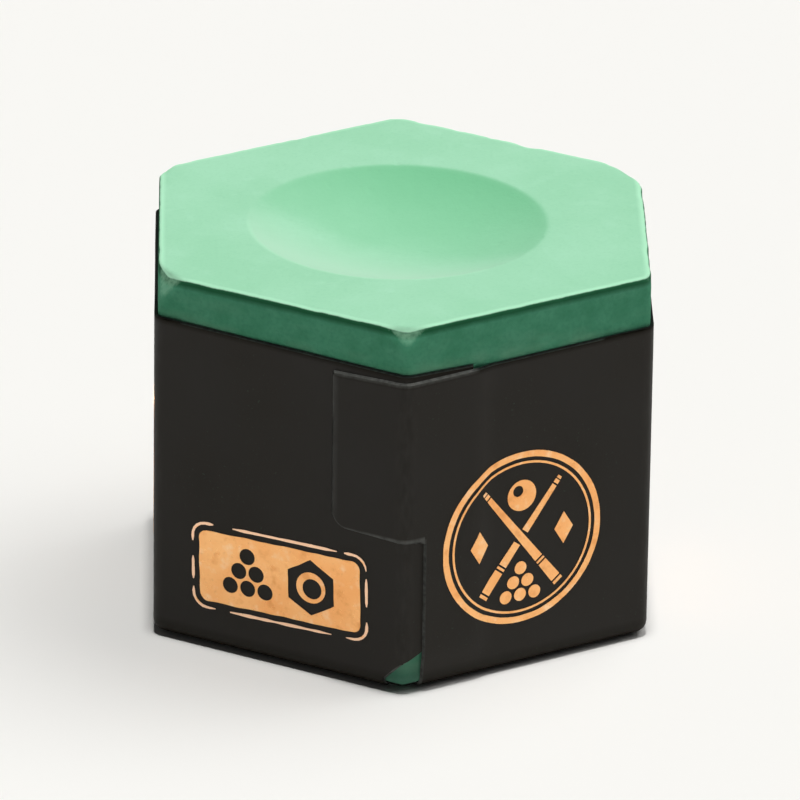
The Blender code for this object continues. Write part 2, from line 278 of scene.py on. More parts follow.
def outline_point(p, out):
    """The point at p along the block's rounded outline, moved out along the outline's normal."""
    corner = round(p / PITCH)
    along = p - corner * PITCH
    turn = max(-HALF_ARC, min(HALF_ARC, along))
    normal = edge_angle(corner) + turn / UPRIGHT_EDGE_RADIUS
    straight = along - turn
    centre = (APOTHEM - UPRIGHT_EDGE_RADIUS) / math.cos(math.pi / SIDES)
    reach = UPRIGHT_EDGE_RADIUS + out
    x = centre * math.cos(edge_angle(corner)) + reach * math.cos(normal) - straight * math.sin(normal)
    y = centre * math.sin(edge_angle(corner)) + reach * math.sin(normal) + straight * math.cos(normal)
    return x, y


def wrapped_point(p, v, out):
    """The place in space of a point of the strip, at a height out above the chalk."""
    if v >= 0:
        return (*outline_point(p, out), WALL_FOOT + v)
    turned = min(-v / FOOT_RADIUS, math.pi / 2)
    beyond = max(0.0, -v - CURL_LENGTH)
    radial = (FOOT_RADIUS + out) * math.cos(turned) - FOOT_RADIUS - beyond
    return (*outline_point(p, radial), WALL_FOOT - (FOOT_RADIUS + out) * math.sin(turned))


def layer_height(p, v):
    """How high the strip's glued side lies above the chalk: at the lap it climbs onto its lower end."""
    past_lap = smooth_step(LAP_SLOPE_START, LAP_SLOPE_END, p)
    above_foot = smooth_step(0, LAP_FOOT_SLOPE, v)
    return GLUE + (PAPER + LAP_GAP) * (1 - past_lap) * above_foot


def paper_wave(p, v):
    """Slight unevenness of the pasted paper, the same in both layers of the lap."""
    round_p = p % (SIDES * PITCH)
    broad = noise.noise(Vector((round_p / BROAD_WAVE_SIZE[0], v / BROAD_WAVE_SIZE[1], 3.7)))
    fine = noise.noise(Vector((round_p / FINE_WAVE_SIZE[0], v / FINE_WAVE_SIZE[1], 8.1)))
    fade = smooth_step(-0.2 * MM, 1.5 * MM, v)
    return fade * (BROAD_WAVE * broad + FINE_WAVE * fine)


def label_height(p, v):
    return layer_height(p, v) + paper_wave(p, v)


# label_height at the corners of the sheet's grid, kept as they are worked out
GRID_HEIGHTS = {}


def sheet_height(p, v):
    """label_height read off a grid, so that the foil follows the same flat cells as the paper below."""
    column, row = math.floor(p / SHEET_CELL), math.floor(v / SHEET_CELL)
    across, up = p / SHEET_CELL - column, v / SHEET_CELL - row
    corners = [grid_height(column + right, row + above) for above in (0, 1) for right in (0, 1)]
    low = corners[0] + (corners[1] - corners[0]) * across
    high = corners[2] + (corners[3] - corners[2]) * across
    return low + (high - low) * up


def grid_height(column, row):
    if (column, row) not in GRID_HEIGHTS:
        GRID_HEIGHTS[column, row] = label_height(column * SHEET_CELL, row * SHEET_CELL)
    return GRID_HEIGHTS[column, row]


# ---------------------------------------------------------------- mesh helpers


def add_piece(name, mesh_data, materials, node, sharp=40):
    """A finished bmesh as a piece that stands for a CAD node."""
    bmesh.ops.recalc_face_normals(mesh_data, faces=mesh_data.faces)
    if mesh_data.calc_volume(signed=True) < 0:
        bmesh.ops.reverse_faces(mesh_data, faces=mesh_data.faces)
    mesh = bpy.data.meshes.new(name)
    mesh_data.to_mesh(mesh)
    mesh_data.free()
    for finish in materials:
        mesh.materials.append(finish)
    mesh.shade_smooth()
    mesh.set_sharp_from_angle(angle=math.radians(sharp))
    piece = bpy.data.objects.new(name, mesh)
    bpy.context.collection.objects.link(piece)
    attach(piece, BODY)
    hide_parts(node)
    return piece


def cut_along(mesh_data, axis, places):
    """Cuts a flat sheet along straight lines, so that it can bend there."""
    for place in places:
        normal = (1, 0, 0) if axis == 0 else (0, 1, 0)
        point = (place, 0, 0) if axis == 0 else (0, place, 0)
        everything = mesh_data.verts[:] + mesh_data.edges[:] + mesh_data.faces[:]
        bmesh.ops.bisect_plane(mesh_data, geom=everything, plane_co=point, plane_no=normal, dist=1e-9)


def cell_lines(low, high):
    """Grid lines strictly between two places."""
    first, last = math.floor(low / SHEET_CELL) + 1, math.ceil(high / SHEET_CELL)
    return [line * SHEET_CELL for line in range(first, last)]


def upright_edge_lines(steps):
    """The p of every line where the strip bends round an upright edge."""
    lines = []
    for corner in range(SIDES + 1):
        lines += [corner * PITCH + HALF_ARC * (2 * step / steps - 1) for step in range(steps + 1)]
    return lines


def arc(centre, radius, start, end, steps):
    points = []
    for step in range(steps + 1):
        angle = start + (end - start) * step / steps
        points.append((centre[0] + radius * math.cos(angle), centre[1] + radius * math.sin(angle)))
    return points


def circle(centre, radius, steps, turn=0.0):
    """A closed outline of that many points, the first of them at the angle of the turn."""
    return arc(centre, radius, turn, turn + 2 * math.pi * (1 - 1 / steps), steps - 1)


# ---------------------------------------------------------------- chalk


def dish_rings():
    """Radius and depth of the dish's rings, from the start of its soft rim down to the middle."""
    bowl = (DISH_RADIUS**2 + DISH_DEPTH**2) / (2 * DISH_DEPTH)
    rim = math.sqrt((bowl + DISH_RIM_RADIUS) ** 2 - (bowl - DISH_DEPTH + DISH_RIM_RADIUS) ** 2)
    slope = math.asin(rim / (bowl + DISH_RIM_RADIUS))
    rings = []
    for step in range(DISH_RIM_STEPS):
        angle = slope * step / DISH_RIM_STEPS
        rings.append((rim - DISH_RIM_RADIUS * math.sin(angle), DISH_RIM_RADIUS * (1 - math.cos(angle))))
    for step in range(BOWL_STEPS):
        angle = slope * (1 - step / BOWL_STEPS)
        rings.append((bowl * math.sin(angle), DISH_DEPTH - bowl * (1 - math.cos(angle))))
    return rings


def wall_heights():
    """Heights of the rings up the block's side."""
    heights = []
    z = WALL_FOOT
    while z < TOP - TOP_EDGE_RADIUS - CLOSE_RINGS / 2:
        heights.append(z)
        chalk_shows = z < CHALK_SHOWS_BELOW or z > CHALK_SHOWS_ABOVE
        z += CLOSE_RINGS if chalk_shows else WIDE_RINGS
    return heights


def wear_back(point):
    """Rounds the block's top corners off, each by its own amount of wear."""
    for corner, (inset, drop, softness) in enumerate(CORNER_WEAR):
        angle = edge_angle(corner)
        outward = Vector((math.cos(angle), math.sin(angle), 0))
        normal = Vector((drop * outward.x, drop * outward.y, inset)).normalized()
        on_plane = outward * (CORNER_REACH - inset) + Vector((0, 0, TOP))
        beyond = (point - on_plane).dot(normal)
        if beyond > -softness:
            point = point - normal * soft_excess(beyond, softness)
    return point


def soft_excess(x, softness):
    """How far x is above 0, easing in over the softness on both sides."""
    if x >= softness:
        return x
    return (x + softness) ** 2 / (4 * softness)


def pit_depth(point):
    """Small round pores in the pressed chalk."""
    distances, features = noise.voronoi(point / PIT_SPACING)
    if noise.cell(features[0] * 7.3) < PIT_THRESHOLD:
        return 0.0
    radius = 0.16 + 0.08 * noise.cell(features[0] * 3.1)
    share = distances[0] / radius
    return PIT_DEPTH * (1 - share * share) if share < 1 else 0.0


def edge_chip(point, near_edge):
    """How much the crumbly top edge has lost here."""
    broad = max(0.0, noise.noise(point / BROAD_CHIP_SIZE) - 0.12)
    fine = max(0.0, noise.noise(point / FINE_CHIP_SIZE) - 0.05)
    return near_edge * (BROAD_CHIP_DEPTH * broad + FINE_CHIP_DEPTH * fine)


def dish_place(point):
    """A point's distance from the dish's middle and towards its side with painted shade, both in dish
    radii.
    """
    x, y = point.x - DISH_SHIFT, point.y
    turn = math.radians(DISH_SHADE_TOWARDS)
    towards_packed = x * math.sin(turn) - y * math.cos(turn)
    return math.hypot(x, y) / DISH_RADIUS, towards_packed / DISH_RADIUS


def dish_shade_and_light(point):
    """Painted shade over the dish, 1 at most, and below 0 on the side that gets painted light instead."""
    reach, side = dish_place(point)
    inside = 1 - smooth_step(0.97, 1.03, reach)
    slope = DISH_SHADE_SLOPE if side > 0 else DISH_LIGHT_SLOPE
    return inside * max(-1.0, min(1.0, DISH_SHADE_AT_MIDDLE + slope * side))


def dish_rim_highlight(point):
    """A painted highlight on the rim of the dish's side with painted light."""
    reach, side = dish_place(point)
    return 0.5 * math.exp(-(((reach - 1) / 0.03) ** 2)) * smooth_step(0.1, 0.6, -side)


def chalk_rings(columns):
    """The block's rings, from the underside up and in to the dish: (points, near top edge, powdery)."""
    rings = []
    for step in range(FOOT_STEPS):
        turn = math.pi / 2 * (1 - step / FOOT_STEPS)
        inset, z = FOOT_RADIUS * (1 - math.cos(turn)), WALL_FOOT - FOOT_RADIUS * math.sin(turn)
        rings.append(([(*outline_point(p, -inset), z) for p in columns], 0.0, 0.0))
    for z in wall_heights():
        below = TOP - TOP_EDGE_RADIUS - z
        near = math.exp(-((below / UNDER_LIP_REACH) ** 2))
        rings.append(([(*outline_point(p, 0), z) for p in columns], near, 0.0))
    for step in range(TOP_EDGE_STEPS + 1):
        turn = math.pi / 2 * step / TOP_EDGE_STEPS
        inset = TOP_EDGE_RADIUS * (1 - math.cos(turn))
        z = TOP - TOP_EDGE_RADIUS * (1 - math.sin(turn))
        powdery = smooth_step(1.5, 3.5, step)
        rings.append(([(*outline_point(p, -inset), z) for p in columns], 1.0, powdery))
    dish = dish_rings()
    edge = rings[-1][0]
    rim = []
    for x, y, _ in edge:
        reach = dish[0][0] / math.hypot(x, y)
        rim.append((DISH_SHIFT + x * reach, y * reach))
    for step in range(1, TOP_FACE_STEPS):
        share = step / TOP_FACE_STEPS
        points = []
        for (x, y, _), (rim_x, rim_y) in zip(edge, rim):
            points.append((x + (rim_x - x) * share, y + (rim_y - y) * share, TOP))
        in_from_edge = share * (APOTHEM - dish[0][0])
        rings.append((points, math.exp(-((in_from_edge / TOP_RIM_REACH) ** 2)), 1.0))
    for radius, depth in dish:
        points = []
        for x, y, _ in edge:
            reach = radius / math.hypot(x, y)
            points.append((DISH_SHIFT + x * reach, y * reach, TOP - depth))
        rings.append((points, 0.0, 1.0))
    return rings


def chalk_columns():
    """The p of every point on a ring of the block, close together round the upright edges."""
    columns = []
    face = PITCH - 2 * HALF_ARC
    for corner in range(SIDES):
        edge = corner * PITCH
        for step in range(CORNER_COLUMNS + 1):
            columns.append(edge + HALF_ARC * (2 * step / CORNER_COLUMNS - 1))
        for step in range(1, FACE_COLUMNS):
            columns.append(edge + HALF_ARC + face * step / FACE_COLUMNS)
    return columns


def make_chalk(finish):
    columns = chalk_columns()
    mesh_data = bmesh.new()
    powder = mesh_data.verts.layers.float.new("powder")
    edge = mesh_data.verts.layers.float.new("edge")
    dish_shading = mesh_data.verts.layers.float.new("dish_shading")
    loops = []
    for points, near_edge, powdery in chalk_rings(columns):
        loop = []
        for place in points:
            point = wear_back(Vector(place))
            worn = min(1.0, (Vector(place) - point).length / FULLY_WORN)
            inward = Vector((-point.x, -point.y, 0)).normalized()
            point += (inward - Vector((0, 0, 1))) * 0.7 * edge_chip(point, near_edge)
            vert = mesh_data.verts.new(point)
            # The edge attribute carries the painted shade under the top edge, and the painted highlight
            # along it and on the dish's rim
            vert[powder] = max(powdery, WORN_POWDER * worn)
            vert[edge] = max(near_edge, dish_rim_highlight(point))
            # The dish's painted shade, and painted light on its other side
            vert[dish_shading] = dish_shade_and_light(point)
            loop.append(vert)
        loops.append(loop)
    count = len(columns)
    for low, high in zip(loops, loops[1:]):
        for index in range(count):
            after = (index + 1) % count
            mesh_data.faces.new((low[index], low[after], high[after], high[index]))
    floor = mesh_data.verts.new((DISH_SHIFT, 0, TOP - DISH_DEPTH))
    floor[powder] = 1.0
    floor[dish_shading] = dish_shade_and_light(floor.co)
    for index in range(count):
        mesh_data.faces.new((loops[-1][index], loops[-1][(index + 1) % count], floor))
    mesh_data.faces.new(loops[0])
    roughen(mesh_data)
    return add_piece("chalk", mesh_data, [finish], "chalk_block", sharp=60)


def roughen(mesh_data):
    """Gives the smooth block the unevenness and the pores of pressed powder."""
    bmesh.ops.recalc_face_normals(mesh_data, faces=mesh_data.faces)
    mesh_data.normal_update()
    moves = []
    for vert in mesh_data.verts:
        place = vert.co.copy()
        broad = BROAD_ROUGHNESS * noise.noise(place / BROAD_ROUGHNESS_SIZE)
        grain = FINE_ROUGHNESS * noise.noise(place / FINE_ROUGHNESS_SIZE)
        moves.append(vert.normal * (broad + grain - pit_depth(place)))
    for vert, move in zip(mesh_data.verts, moves):
        vert.co += move


# ---------------------------------------------------------------- label


def tab_points(start, end):
    """One glue tab under the block, with mitred sides."""
    root, tip = -CURL_LENGTH, -CURL_LENGTH - TAB_LENGTH
    return [(start, root), (start + TAB_LENGTH, tip), (end - TAB_LENGTH, tip), (end, root)]


def label_outline():
    """The side label's outline as it is cut from flat paper, anticlockwise."""
    outline = []
    for face in range(SIDES):
        start = STEP_EDGE if face == 0 else face * PITCH + HALF_ARC
        end = (face + 1) * PITCH - (TRIM_START if face == SIDES - 1 else HALF_ARC)
        outline += tab_points(start, end)
    seam = SIDES * PITCH
    trim_at_edge = TRIM_START - TRIM_START_DROP
    outline.append((seam - TRIM_START, -TRIM_START_DROP))
    outline.append((seam, trim_at_edge))
    outline.append((seam + UNDER_END, trim_at_edge + UNDER_END * TRIM_SLOPE_PAST_EDGE))
    outline.append((seam + UNDER_END, UNDER_END_TOP - WALL_FOOT))
    for corner in range(SIDES, -1, -1):
        outline.append((corner * PITCH, EDGE_TOPS[corner] - WALL_FOOT))
    outline.append((-FLAP_REACH, FLAP_END_TOP - WALL_FOOT))
    turn = (-FLAP_REACH + FLAP_CORNER_RADIUS, FLAP_FOOT - WALL_FOOT + FLAP_CORNER_RADIUS)
    outline += arc(turn, FLAP_CORNER_RADIUS, math.pi, 1.5 * math.pi, FLAP_CORNER_STEPS)
    outline.append((STEP_EDGE, STEP_EDGE_TOP - WALL_FOOT))
    return outline


def paper_sheet(outline):
    """A flat sheet of paper, cut into the grid's cells so that it can bend."""
    mesh_data = bmesh.new()
    mesh_data.faces.new([mesh_data.verts.new((p, v, 0)) for p, v in outline])
    low = [min(point[axis] for point in outline) for axis in (0, 1)]
    high = [max(point[axis] for point in outline) for axis in (0, 1)]
    cut_along(mesh_data, 0, cell_lines(low[0], high[0]))
    cut_along(mesh_data, 1, cell_lines(low[1], high[1]))
    return mesh_data


def rim_shifts(mesh_data):
    """How far each point on a flat sheet's edge moves in to make the sheet's worn, sloping cut edge."""
    shifts = {}
    for edge in mesh_data.edges:
        if not edge.is_boundary:
            continue
        start, end = edge.verts
        along = (end.co - start.co).normalized()
        inward = Vector((-along.y, along.x, 0))
        if inward.dot(edge.link_faces[0].calc_center_median() - start.co) < 0:
            inward.negate()
        for vert in (start, end):
            shifts.setdefault(flat_key(vert.co), []).append(inward)
    moves = {}
    for key, inwards in shifts.items():
        mean = sum(inwards, Vector()).normalized()
        moves[key] = mean * (CUT_SLOPE / max(0.5, mean.dot(inwards[0])))
    return moves


def flat_key(place):
    return round(place.x / (0.001 * MM)), round(place.y / (0.001 * MM))


def thickened(mesh_data, low, high):
    """Gives a flat sheet its thickness, with sloping cut edges as its second material."""
    moves = rim_shifts(mesh_data)
    for vert in mesh_data.verts:
        vert.co.z = low
    flat = set(mesh_data.faces)
    made = bmesh.ops.extrude_face_region(mesh_data, geom=mesh_data.faces[:], use_keep_orig=True)
    for item in made["geom"]:
        if isinstance(item, bmesh.types.BMVert):
            item.co += moves.get(flat_key(item.co), Vector())
            item.co.z = high
        if isinstance(item, bmesh.types.BMFace):
            flat.add(item)
    for face in mesh_data.faces:
        face.material_index = 0 if face in flat else 1


def label_top(p):
    """The v of the strip's top edge at p, for the flap and the turns round the block."""
    corner = max(-1, min(SIDES - 1, math.floor(p / PITCH)))
    if corner < 0:
        start, end, share = EDGE_TOPS[0], FLAP_END_TOP, -p / FLAP_REACH
    else:
        start, end, share = EDGE_TOPS[corner], EDGE_TOPS[corner + 1], p / PITCH - corner
    if p > SIDES * PITCH:
        start, end, share = EDGE_TOPS[SIDES], UNDER_END_TOP, (p - SIDES * PITCH) / UNDER_END
    return start + (end - start) * share - WALL_FOOT


def wrap_onto_block(mesh_data):
    """Moves a flat sheet's points from the strip's p, v and t to their places round the block."""
    strip = mesh_data.verts.layers.float_vector.new("strip")
    for vert in mesh_data.verts:
        p, v, t = vert.co
        vert[strip] = (p / MM, v / MM, (label_top(p) - v) / MM)
        vert.co = wrapped_point(p, v, sheet_height(p, v) + t)


def make_side_label(finishes):
    mesh_data = paper_sheet(label_outline())
    cut_along(mesh_data, 0, upright_edge_lines(BEND_STEPS))
    cut_along(mesh_data, 1, [-CURL_LENGTH * step / CURL_STEPS for step in range(CURL_STEPS + 1)])
    thickened(mesh_data, 0, PAPER)
    wrap_onto_block(mesh_data)
    return add_piece("paper_label", mesh_data, finishes, "side_label")


def make_base_label(finishes):
    share = 1 - BASE_SHEET_INSET / APOTHEM
    once_round = upright_edge_lines(BEND_STEPS)[: -(BEND_STEPS + 1)]
    outline = [(x * share, y * share) for x, y in (outline_point(p, 0) for p in once_round)]
    mesh_data = paper_sheet(outline)
    thickened(mesh_data, 0, PAPER)
    strip = mesh_data.verts.layers.float_vector.new("strip")
    for vert in mesh_data.verts:
        vert[strip] = (PITCH / 2 / MM, TOP / 2 / MM, TOP / 2 / MM)
    return add_piece("paper_base", mesh_data, finishes, "base_label")


# ---------------------------------------------------------------- foil


def uneven(outline, amount, seed):
    """An outline with the slight unevenness of a hand-cut stamp, and points added along its sides."""
    points = []
    for start, end in zip(outline, outline[1:] + outline[:1]):
        steps = max(1, round(math.dist(start, end) / OUTLINE_SPACING))
        for step in range(steps):
            x = start[0] + (end[0] - start[0]) * step / steps
            y = start[1] + (end[1] - start[1]) * step / steps
            place = Vector((x / UNEVEN_LENGTH, y / UNEVEN_LENGTH, seed))
            shift = noise.noise_vector(place) * amount
            points.append((x + shift.x, y + shift.y))
    return points


def rounded_plate(width, height, radius):
    """A rounded rectangle about the origin, anticlockwise from the right of its upper right corner."""
    points = []
    for turn, (side, up) in enumerate(((1, 1), (-1, 1), (-1, -1), (1, -1))):
        centre = (side * (width / 2 - radius), up * (height / 2 - radius))
        start, end = turn * math.pi / 2, (turn + 1) * math.pi / 2
        points += arc(centre, radius, start, end, PLATE_CORNER_STEPS)
    return points


def along_path(path, share):
    """The point at a share of the way round a closed path, and the path's direction there."""
    sides = list(zip(path, path[1:] + path[:1]))
    lengths = [math.dist(start, end) for start, end in sides]
    left = (share % 1.0) * sum(lengths)
    for (start, end), length in zip(sides, lengths):
        if left <= length and length > 0:
            direction = ((end[0] - start[0]) / length, (end[1] - start[1]) / length)
            return (start[0] + direction[0] * left, start[1] + direction[1] * left), direction
        left -= length
    return path[0], (1.0, 0.0)


def stroke(path, start, end, width, seed):
    """A brush-like line along part of a closed path, thinner at its ends."""
    steps = max(LEAST_STROKE_STEPS, round((end - start) * STEPS_ROUND_FRAME))
    near, far = [], []
    for step in range(steps + 1):
        share = step / steps
        point, direction = along_path(path, start + (end - start) * share)
        full = min(1.0, STROKE_END_SHARE + STROKE_SWELL * min(share, 1 - share))
        place = Vector((point[0] / STROKE_WAVER_LENGTH, point[1] / STROKE_WAVER_LENGTH, seed))
        half = width / 2 * full * (1 + STROKE_WAVER * noise.noise(place))
        near.append((point[0] - direction[1] * half, point[1] + direction[0] * half))
        far.append((point[0] + direction[1] * half, point[1] - direction[0] * half))
    return near + far[::-1]


def rack(centre, radius, pitch, seed):
    """Six balls in a triangle, its point up."""
    outlines = []
    for row in range(3):
        for place in range(row + 1):
            x = centre[0] + (place - row / 2) * pitch
            y = centre[1] + (1 - row) * pitch * math.sin(math.pi / 3)
            ball = circle((x, y), radius, BALL_POINTS)
            outlines.append(uneven(ball, UNEVEN_BALL, seed + row + place))
    return outlines


def plaque_artwork(seed):
    """A stamped plate with a rack and a chalk block left open in it, in a broken frame line."""
    width, height = PLAQUE_SIZE
    outlines = [uneven(rounded_plate(width, height, PLAQUE_CORNER), UNEVEN_PLATE, seed)]
    outlines += rack(PLAQUE_RACK, PLAQUE_BALL_RADIUS, PLAQUE_BALL_PITCH, seed)
    hexagon = circle(DRAWN_BLOCK, DRAWN_BLOCK_RADIUS, SIDES, math.pi / 2)
    outlines.append(uneven(hexagon, UNEVEN_BLOCK, seed + 11))
    outlines.append(circle(DRAWN_BLOCK, DRAWN_DISH_RADIUS, 28))
    outlines.append(circle(DRAWN_HOLLOW, DRAWN_HOLLOW_RADIUS, 24))
    path = rounded_plate(width + 2 * FRAME_OFFSET, height + 2 * FRAME_OFFSET, FRAME_CORNER)
    for number, (start, end) in enumerate(FRAME_STROKES):
        outlines.append(stroke(path, start, end, FRAME_WIDTH, seed + number))
    return outlines


def cue_part(angle, start, end, start_width, end_width):
    """One length of a cue drawn from the crest's middle outwards at an angle."""
    along = (math.cos(angle), math.sin(angle))
    near, far = start_width / 2, end_width / 2
    points = []
    for reach, side in ((start, near), (end, far), (end, -far), (start, -near)):
        points.append((along[0] * reach - along[1] * side, along[1] * reach + along[0] * side))
    return points


def cue(angle, crossing_gap):
    """A cue from its butt to its tip, with gaps for its rings and where another cue crosses it."""
    outlines = []
    for start, end, start_width, end_width in CUE_PARTS:
        taper = end_width - start_width
        pieces = [(start, end)]
        if start < 0 < end and crossing_gap:
            pieces = [(start, -crossing_gap), (crossing_gap, end)]
        for low, high in pieces:
            widths = [start_width + taper * (x - start) / (end - start) for x in (low, high)]
            outlines.append(cue_part(angle, low, high, *widths))
    return outlines


def crest_artwork(seed):
    """Two crossed cues in a double ring, with a rack below, a ball above and a diamond at each side."""
    broad, gap, fine = (CREST_RADIUS - inset for inset in CREST_RING_INSETS)
    outlines = [uneven(circle((0, 0), CREST_RADIUS, RING_POINTS), UNEVEN_RING, seed)]
    outlines.append(uneven(circle((0, 0), broad, RING_POINTS), UNEVEN_RING, seed + 1))
    outlines.append(circle((0, 0), gap, RING_POINTS))
    outlines.append(circle((0, 0), fine, RING_POINTS))
    outlines += cue(math.pi - CUE_ANGLE, 0) + cue(CUE_ANGLE, CROSSING_GAP)
    outlines += rack(CREST_RACK, CREST_BALL_RADIUS, CREST_BALL_PITCH, seed)
    outlines.append(circle(CUE_BALL, CUE_BALL_RADIUS, 32))
    outlines.append(circle(CUE_BALL_SPOT, CUE_BALL_SPOT_RADIUS, 20))
    for side in (-1, 1):
        x = side * DIAMOND_PLACE
        wide, tall = DIAMOND_HALF_WIDTH, DIAMOND_HALF_HEIGHT
        outlines.append([(x + wide, 0), (x, tall), (x - wide, 0), (x, -tall)])
    return outlines


def filled_outlines(name, outlines):
    """A flat bmesh as thick as the foil, filled between closed outlines by the even and odd rule."""
    curve = bpy.data.curves.new(name, "CURVE")
    curve.dimensions = "2D"
    curve.fill_mode = "BOTH"
    curve.extrude = FOIL / 2
    for outline in outlines:
        spline = curve.splines.new("POLY")
        spline.points.add(len(outline) - 1)
        spline.use_cyclic_u = True
        for point, (x, y) in zip(spline.points, outline):
            point.co = (x, y, 0, 1)
    drawn = bpy.data.objects.new(name, curve)
    mesh = bpy.data.meshes.new_from_object(drawn)
    mesh_data = bmesh.new()
    mesh_data.from_mesh(mesh)
    bpy.data.objects.remove(drawn)
    bpy.data.curves.remove(curve)
    bpy.data.meshes.remove(mesh)
    bmesh.ops.remove_doubles(mesh_data, verts=mesh_data.verts, dist=1e-7)
    return mesh_data


def stamp(piece_name, node, outlines, plate, face, centre, tilt, finish):
    """Lays foil artwork on the face right of an upright edge, and marks the strokes off its plate for a
    painted highlight.
    """
    mesh_data = filled_outlines(piece_name, outlines)
    left = face * PITCH + FACE_START
    line = mesh_data.verts.layers.float.new("line")
    for vert in mesh_data.verts:
        x, y, z = vert.co
        off_plate = max(abs(x) - plate[0] / 2, abs(y) - plate[1] / 2)
        # Strokes off the plate get a painted highlight
        vert[line] = 1.0 if off_plate > FRAME_OFFSET / 2 else 0.0
        vert.co.x = left + centre[0] + x * math.cos(tilt) - y * math.sin(tilt)
        vert.co.y = centre[1] - WALL_FOOT + x * math.sin(tilt) + y * math.cos(tilt)
        vert.co.z = PAPER + FOIL_GAP + FOIL / 2 + z
    reach = [[vert.co[axis] for vert in mesh_data.verts] for axis in (0, 1)]
    for axis in (0, 1):
        cut_along(mesh_data, axis, cell_lines(min(reach[axis]), max(reach[axis])))
    wrap_onto_block(mesh_data)
    return add_piece(piece_name, mesh_data, [finish], node)


# ---------------------------------------------------------------- materials


def new_material(name):
    made = bpy.data.materials.new(name)
    made.use_nodes = True
    return made, made.node_tree, made.node_tree.nodes["Principled BSDF"]


def add_node(tree, kind, inputs=None, **settings):
    """A shader node with its settings, and its inputs given as values or as other nodes' outputs."""
    made = tree.nodes.new("ShaderNode" + kind)
    for name, value in settings.items():
        setattr(made, name, value)
    for name, value in (inputs or {}).items():
        if isinstance(value, bpy.types.NodeSocket):
            tree.links.new(value, made.inputs[name])
        else:
            made.inputs[name].default_value = value
    return made


def noise_field(tree, size, detail, stretch=(1, 1, 1)):
    """Noise from 0 to 1 with features of about the given size in metres, longer where stretched."""
    place = add_node(tree, "TexCoord").outputs["Object"]
    scaled = add_node(tree, "Mapping", {"Vector": place, "Scale": [1 / (size * s) for s in stretch]})
    inputs = {"Vector": scaled.outputs[0], "Scale": 1.0, "Detail": detail}
    return add_node(tree, "TexNoise", inputs).outputs["Fac"]


def ranged(tree, value, low, high, to_low=0.0, to_high=1.0):
    inputs = {"Value": value, "From Min": low, "From Max": high, "To Min": to_low, "To Max": to_high}
    return add_node(tree, "MapRange", inputs, clamp=True).outputs[0]


def maths(tree, operation, first, second=0.0):
    return add_node(tree, "Math", {0: first, 1: second}, operation=operation).outputs[0]


def mixed(tree, factor, first, second):
    """A blend of two colours, from the first at 0 to the second at 1."""
    made = add_node(tree, "Mix", data_type="RGBA")
    for socket, value in ((0, factor), (6, first), (7, second)):
        if isinstance(value, bpy.types.NodeSocket):
            tree.links.new(value, made.inputs[socket])
        else:
            made.inputs[socket].default_value = (*value, 1.0) if socket else value
    return made.outputs[2]


def set_bump(tree, shader, height, distance, strength):
    inputs = {"Height": height, "Distance": distance, "Strength": strength}
    tree.links.new(add_node(tree, "Bump", inputs).outputs[0], shader.inputs["Normal"])


POWDER = ((0.340, 0.695, 0.460), (0.375, 0.730, 0.500))
POWDER_BLOOM = (0.44, 0.79, 0.58)
POWDER_GRAIN = (0.25, 0.58, 0.36)
# The dish's painted shade and painted light
DISH_PAINTED_SHADE = (0.213, 0.607, 0.336)
DISH_PAINTED_LIGHT = (0.445, 0.745, 0.545)
# Painted highlight along the top edge and the dish's rim
PAINTED_EDGE_HIGHLIGHT = (0.50, 0.92, 0.64)
# The skin's colours are darker partly in their own right and partly as painted shade on the upright sides
SKIN = ((0.052, 0.252, 0.136), (0.081, 0.318, 0.188))
SKIN_STREAK = (0.13, 0.36, 0.235)
SKIN_GRAIN = (0.040, 0.185, 0.105)
# Painted shade under the top edge
PAINTED_SHADE_UNDER_LIP = (0.009, 0.088, 0.033)
SKIN_SMEAR = (0.17, 0.37, 0.24)
# Painted shade on the chalk near the foot
SKIN_LOW_SHADE = (0.045, 0.100, 0.076)
SMEARS_FROM = 20.6 * MM
SMEARS_FULL_AT = 19.5 * MM
# Where the painted shade near the foot starts, and where it is full
LOW_SHADE_FROM = 3.0 * MM
LOW_SHADE_FULL_AT = 1.0 * MM


